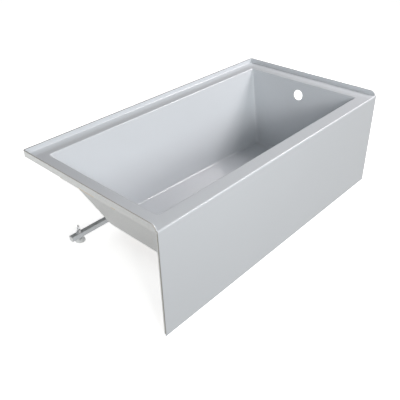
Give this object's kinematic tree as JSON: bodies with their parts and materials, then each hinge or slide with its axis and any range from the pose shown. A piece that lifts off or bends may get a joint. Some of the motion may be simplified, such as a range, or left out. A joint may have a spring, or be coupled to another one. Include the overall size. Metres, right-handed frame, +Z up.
{
  "type": "alcove bathtub",
  "caption": "Rectangular acrylic alcove bathtub with an integral flat apron, a tile flange on three sides, an end drain with overflow hole, and a steel frame on levelling feet.",
  "frame": {"origin": "on the floor, midway along the tub and midway between the apron's face and the back flange's face", "axes": "+X along the tub towards the drain end, +Y from the apron to the back wall, +Z up"},
  "size_m": [1.524, 0.8128, 0.517],
  "materials": {
    "acrylic": "high gloss formed acrylic",
    "laminate": "sprayed glass-fibre laminate, rough",
    "board": "particle board sealed with resin",
    "timber": "planed softwood sealed with resin",
    "galvanised": "galvanised, dull spangle",
    "zinc": "bright zinc plate",
    "nylon": "moulded white nylon"
  },
  "bodies": {
    "tub": {"acrylic_shell": "acrylic", "fibreglass_backing": "laminate", "base_board": "board", "base_board_screws": "zinc", "packer_lounge": "timber", "packer_middle": "timber", "packer_drain": "timber", "front_side_rail": "galvanised", "back_side_rail": "galvanised", "cross_rail_lounge": "galvanised", "cross_rail_middle": "galvanised", "cross_rail_drain": "galvanised", "rail_end_caps": "nylon", "deck_batten_front": "timber", "deck_batten_back": "timber", "deck_batten_lounge": "timber", "deck_batten_drain": "timber", "apron_foot_rail": "timber", "apron_stiffener_lounge": "timber", "apron_stiffener_middle": "timber", "apron_stiffener_drain": "timber", "apron_tie_lounge": "galvanised", "apron_tie_drain": "galvanised", "apron_tie_screws": "zinc", "foot_weld_nut_front_lounge": "zinc", "foot_weld_nut_front_middle": "zinc", "foot_weld_nut_front_drain": "zinc", "foot_weld_nut_back_lounge": "zinc", "foot_weld_nut_back_middle": "zinc", "foot_weld_nut_back_drain": "zinc", "foot_lock_nut_front_lounge": "zinc", "foot_lock_nut_front_middle": "zinc", "foot_lock_nut_front_drain": "zinc", "foot_lock_nut_back_lounge": "zinc", "foot_lock_nut_back_middle": "zinc", "foot_lock_nut_back_drain": "zinc"},
    "pad_front_lounge": {"foot_pad_front_lounge": "nylon"},
    "rod_front_lounge": {"foot_rod_front_lounge": "zinc"},
    "pad_front_middle": {"foot_pad_front_middle": "nylon"},
    "rod_front_middle": {"foot_rod_front_middle": "zinc"},
    "pad_front_drain": {"foot_pad_front_drain": "nylon"},
    "rod_front_drain": {"foot_rod_front_drain": "zinc"},
    "pad_back_lounge": {"foot_pad_back_lounge": "nylon"},
    "rod_back_lounge": {"foot_rod_back_lounge": "zinc"},
    "pad_back_middle": {"foot_pad_back_middle": "nylon"},
    "rod_back_middle": {"foot_rod_back_middle": "zinc"},
    "pad_back_drain": {"foot_pad_back_drain": "nylon"},
    "rod_back_drain": {"foot_rod_back_drain": "zinc"}
  },
  "joints": [
    {"name": "foot_lift_front_lounge", "type": "slide", "parent": "tub", "child": "pad_front_lounge", "axis": [0, 0, -1], "range_m": [-0.0039, 0.0148]},
    {"name": "rod_turn_front_lounge", "type": "hinge", "parent": "pad_front_lounge", "child": "rod_front_lounge", "pos_m": [-0.62, -0.33, 0], "axis": [0, 0, -1], "range_deg": [-810, 3060]},
    {"name": "foot_lift_front_middle", "type": "slide", "parent": "tub", "child": "pad_front_middle", "axis": [0, 0, -1], "range_m": [-0.0039, 0.0148]},
    {"name": "rod_turn_front_middle", "type": "hinge", "parent": "pad_front_middle", "child": "rod_front_middle", "pos_m": [0, -0.33, 0], "axis": [0, 0, -1], "range_deg": [-810, 3060]},
    {"name": "foot_lift_front_drain", "type": "slide", "parent": "tub", "child": "pad_front_drain", "axis": [0, 0, -1], "range_m": [-0.0039, 0.0148]},
    {"name": "rod_turn_front_drain", "type": "hinge", "parent": "pad_front_drain", "child": "rod_front_drain", "pos_m": [0.62, -0.33, 0], "axis": [0, 0, -1], "range_deg": [-810, 3060]},
    {"name": "foot_lift_back_lounge", "type": "slide", "parent": "tub", "child": "pad_back_lounge", "axis": [0, 0, -1], "range_m": [-0.0039, 0.0148]},
    {"name": "rod_turn_back_lounge", "type": "hinge", "parent": "pad_back_lounge", "child": "rod_back_lounge", "pos_m": [-0.62, 0.33, 0], "axis": [0, 0, -1], "range_deg": [-810, 3060]},
    {"name": "foot_lift_back_middle", "type": "slide", "parent": "tub", "child": "pad_back_middle", "axis": [0, 0, -1], "range_m": [-0.0039, 0.0148]},
    {"name": "rod_turn_back_middle", "type": "hinge", "parent": "pad_back_middle", "child": "rod_back_middle", "pos_m": [0, 0.33, 0], "axis": [0, 0, -1], "range_deg": [-810, 3060]},
    {"name": "foot_lift_back_drain", "type": "slide", "parent": "tub", "child": "pad_back_drain", "axis": [0, 0, -1], "range_m": [-0.0039, 0.0148]},
    {"name": "rod_turn_back_drain", "type": "hinge", "parent": "pad_back_drain", "child": "rod_back_drain", "pos_m": [0.62, 0.33, 0], "axis": [0, 0, -1], "range_deg": [-810, 3060]}
  ],
  "couplings": [
    {"joint": "rod_turn_front_lounge", "follows": "foot_lift_front_lounge", "rad_per_m": 3590.4},
    {"joint": "rod_turn_front_middle", "follows": "foot_lift_front_middle", "rad_per_m": 3590.4},
    {"joint": "rod_turn_front_drain", "follows": "foot_lift_front_drain", "rad_per_m": 3590.4},
    {"joint": "rod_turn_back_lounge", "follows": "foot_lift_back_lounge", "rad_per_m": 3590.4},
    {"joint": "rod_turn_back_middle", "follows": "foot_lift_back_middle", "rad_per_m": 3590.4},
    {"joint": "rod_turn_back_drain", "follows": "foot_lift_back_drain", "rad_per_m": 3590.4}
  ]
}
